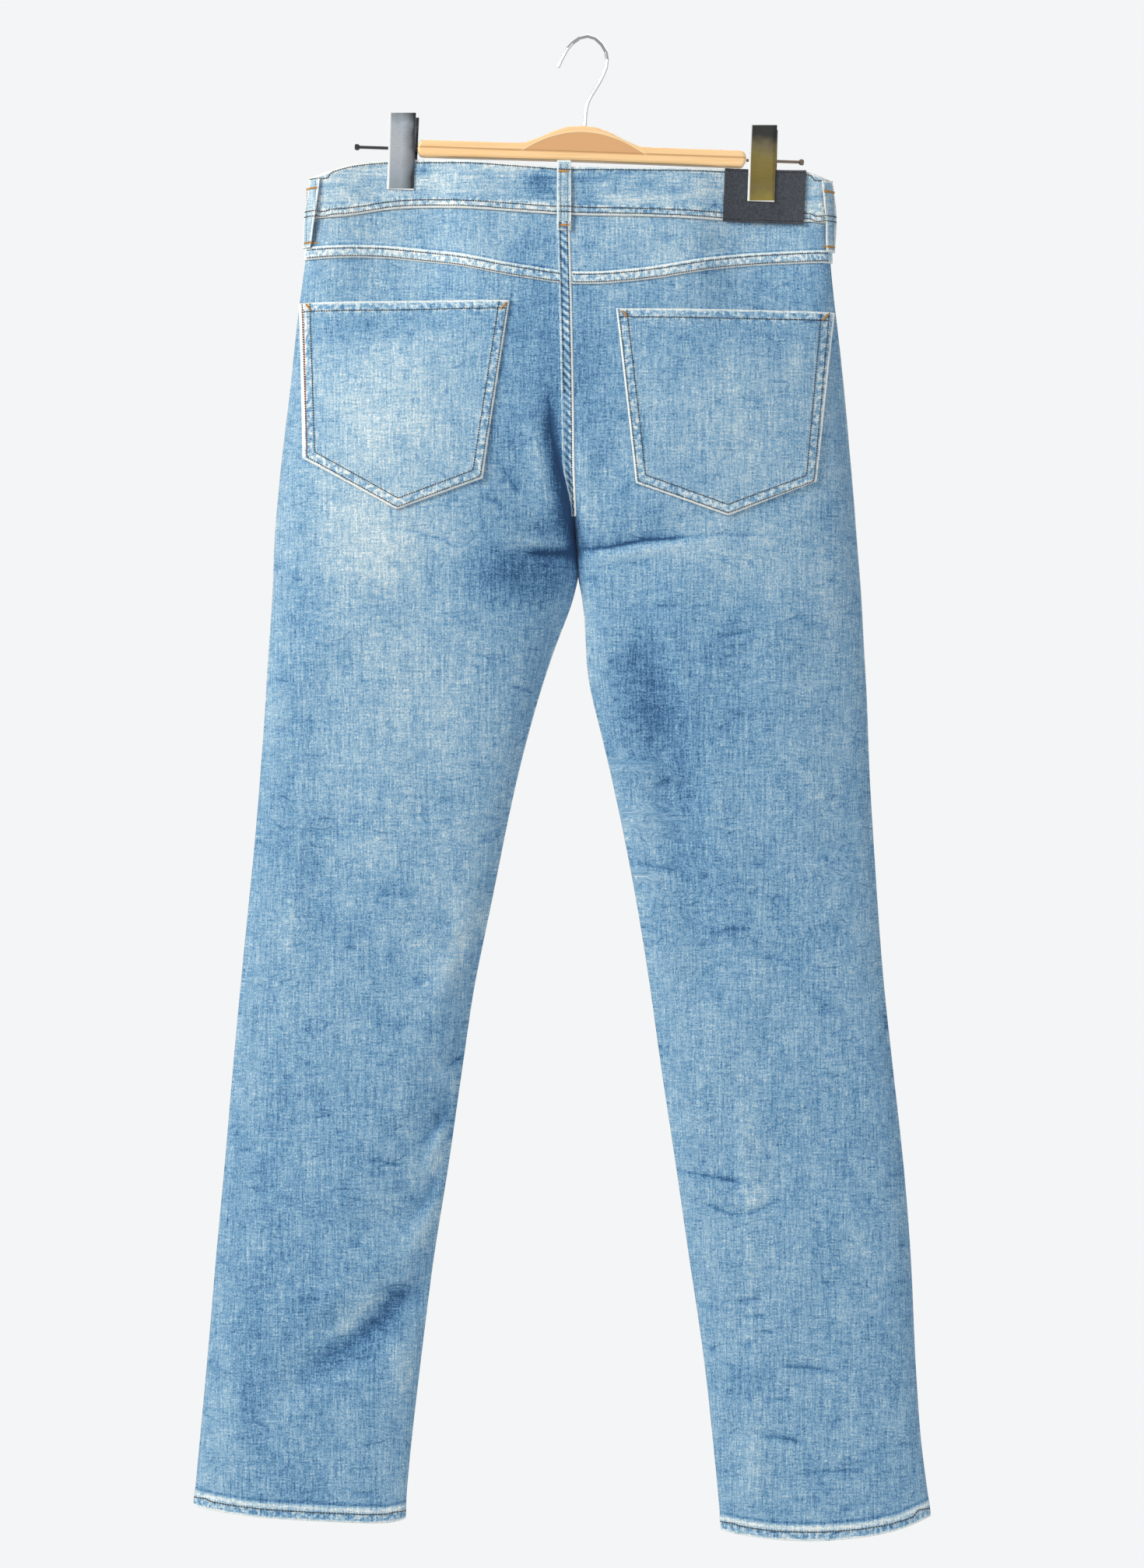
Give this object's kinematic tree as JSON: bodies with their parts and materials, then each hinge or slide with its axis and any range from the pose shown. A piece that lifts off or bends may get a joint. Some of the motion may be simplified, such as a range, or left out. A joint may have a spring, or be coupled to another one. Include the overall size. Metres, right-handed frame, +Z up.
{
  "type": "slim fit jeans on a clip hanger",
  "caption": "Slim fit denim jeans hanging by the waistband from a wooden clip hanger, with back pockets, yokes, belt loops and a leather patch.",
  "frame": {"origin": "the inside top of the hanger's hook, where a rail carries it", "axes": "+Z up, +X towards the wearer's right, +Y out of the front of the garment, so the back faces -Y"},
  "size_m": [0.5931, 0.0711, 1.2092],
  "materials": {
    "denim": "stone washed indigo twill",
    "pocket_denim": "stone washed indigo twill, rubbed paler",
    "loop_denim": "indigo twill worn nearly white",
    "leather": "charcoal grained leather",
    "button_metal": "aged",
    "wood": "lacquered beech",
    "chrome": "polished"
  },
  "bodies": {
    "root": {"leg_back_left": "denim", "leg_back_right": "denim", "leg_front_left": "denim", "leg_front_right": "denim", "yoke_left": "denim", "yoke_right": "denim", "waistband": "denim", "fly": "denim", "pocket_facing_left": "denim", "pocket_facing_right": "denim", "pocket_back_left": "pocket_denim", "pocket_back_right": "pocket_denim", "loop_centre_back": "loop_denim", "loop_side_left": "loop_denim", "loop_side_right": "loop_denim", "loop_front_left": "loop_denim", "loop_front_right": "loop_denim", "label_patch": "leather", "waist_button": "button_metal", "hanger_bar": "wood", "hanger_hook": "chrome", "hanger_rail_left": "chrome", "hanger_rail_right": "chrome", "clip_left_plate": "chrome", "clip_left_jaw": "chrome", "clip_left_barrel": "chrome", "clip_right_plate": "chrome", "clip_right_jaw": "chrome", "clip_right_barrel": "chrome"}
  },
  "joints": []
}
